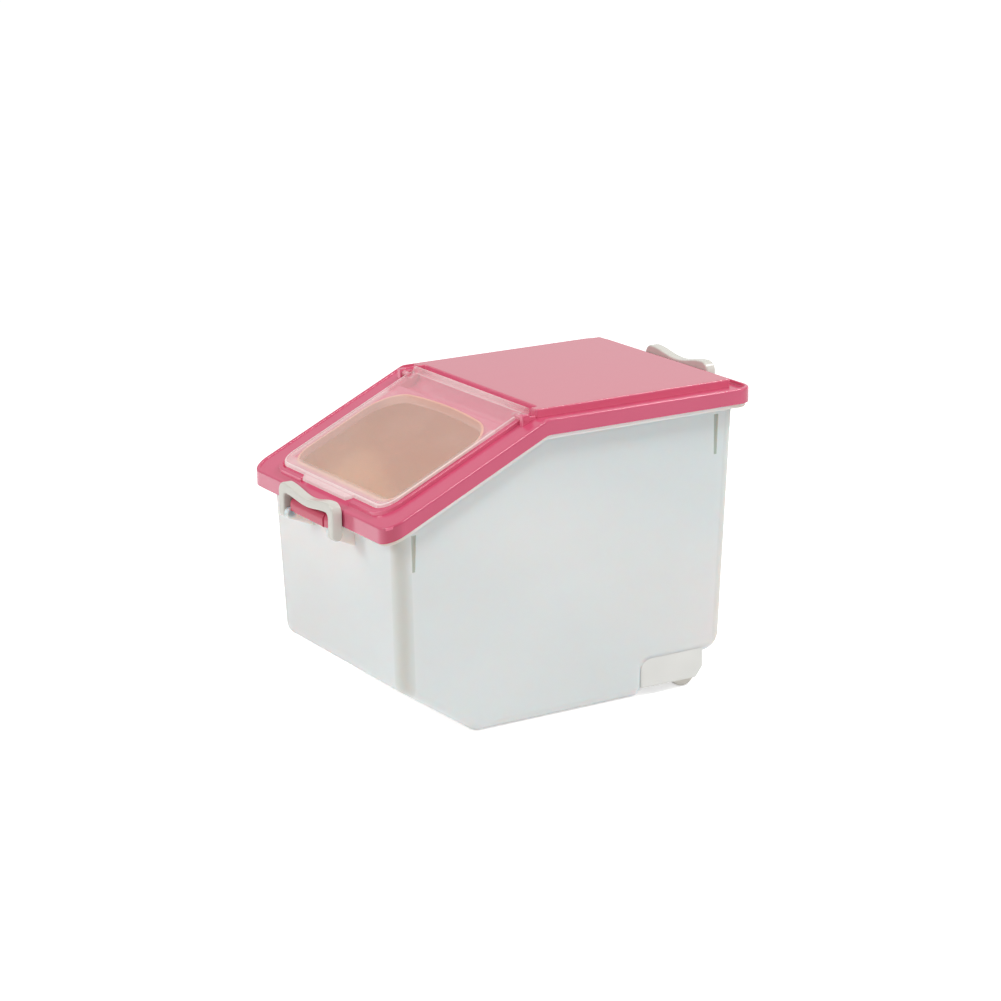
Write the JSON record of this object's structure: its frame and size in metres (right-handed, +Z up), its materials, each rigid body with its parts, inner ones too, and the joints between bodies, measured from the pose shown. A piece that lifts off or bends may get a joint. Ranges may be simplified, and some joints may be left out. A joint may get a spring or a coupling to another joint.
{
  "type": "rice storage box",
  "caption": "Tapered rice storage box with a lift-off sloping lid, a clear hinged pouring flap, wavy bail latches at both ends and wheels under the raised rear.",
  "frame": {"origin": "on the floor, under the middle of the box", "axes": "+X to the box's right seen from the front, +Y from the sloping front to the wheels, +Z up"},
  "size_m": [0.24, 0.3762, 0.2673],
  "materials": {
    "tub_plastic": "smooth off-white translucent moulding",
    "lid_plastic": "satin pink moulding",
    "seal_rubber": "soft pale silicone",
    "clear_plastic": "clear moulding with a light haze",
    "latch_plastic": "glossy off-white moulding",
    "bracket_plastic": "smooth off-white moulding",
    "wheel_plastic": "off-white moulding",
    "axle_steel": "drawn steel"
  },
  "bodies": {
    "box": {"tub": "tub_plastic", "wheel_bracket_left": "bracket_plastic", "wheel_bracket_right": "bracket_plastic", "axle_left": "axle_steel", "axle_right": "axle_steel"},
    "cover": {"lid": "lid_plastic", "lid_seal": "seal_rubber", "flap_seal": "seal_rubber", "flap_pin_left": "lid_plastic", "flap_pin_right": "lid_plastic"},
    "pouring_flap": {"flap": "clear_plastic"},
    "latch_at_front": {"front_latch": "latch_plastic"},
    "latch_at_rear": {"rear_latch": "latch_plastic"},
    "left_wheel": {"wheel_left": "wheel_plastic"},
    "right_wheel": {"wheel_right": "wheel_plastic"}
  },
  "joints": [
    {"name": "lid_lift", "type": "slide", "parent": "box", "child": "cover", "axis": [0, 0, 1], "range_m": [0, 0.02]},
    {"name": "flap_hinge", "type": "hinge", "parent": "cover", "child": "pouring_flap", "pos_m": [0, -0.0385, 0.2594], "axis": [-1, 0, 0], "range_deg": [0, 120]},
    {"name": "front_latch_swing", "type": "hinge", "parent": "box", "child": "latch_at_front", "pos_m": [0, -0.1834, 0.17105], "axis": [1, 0, 0], "range_deg": [0, 175]},
    {"name": "rear_latch_swing", "type": "hinge", "parent": "box", "child": "latch_at_rear", "pos_m": [0, 0.1834, 0.241], "axis": [-1, 0, 0], "range_deg": [0, 175]},
    {"name": "left_wheel_spin", "type": "hinge", "parent": "box", "child": "left_wheel", "pos_m": [-0.09, 0.121, 0.0125], "axis": [1, 0, 0], "continuous": true},
    {"name": "right_wheel_spin", "type": "hinge", "parent": "box", "child": "right_wheel", "pos_m": [0.09, 0.121, 0.0125], "axis": [1, 0, 0], "continuous": true}
  ],
  "couplings": [
    {"joint": "front_latch_swing", "follows": "lid_lift", "rad_per_m": 152.7},
    {"joint": "rear_latch_swing", "follows": "lid_lift", "rad_per_m": 152.7}
  ]
}
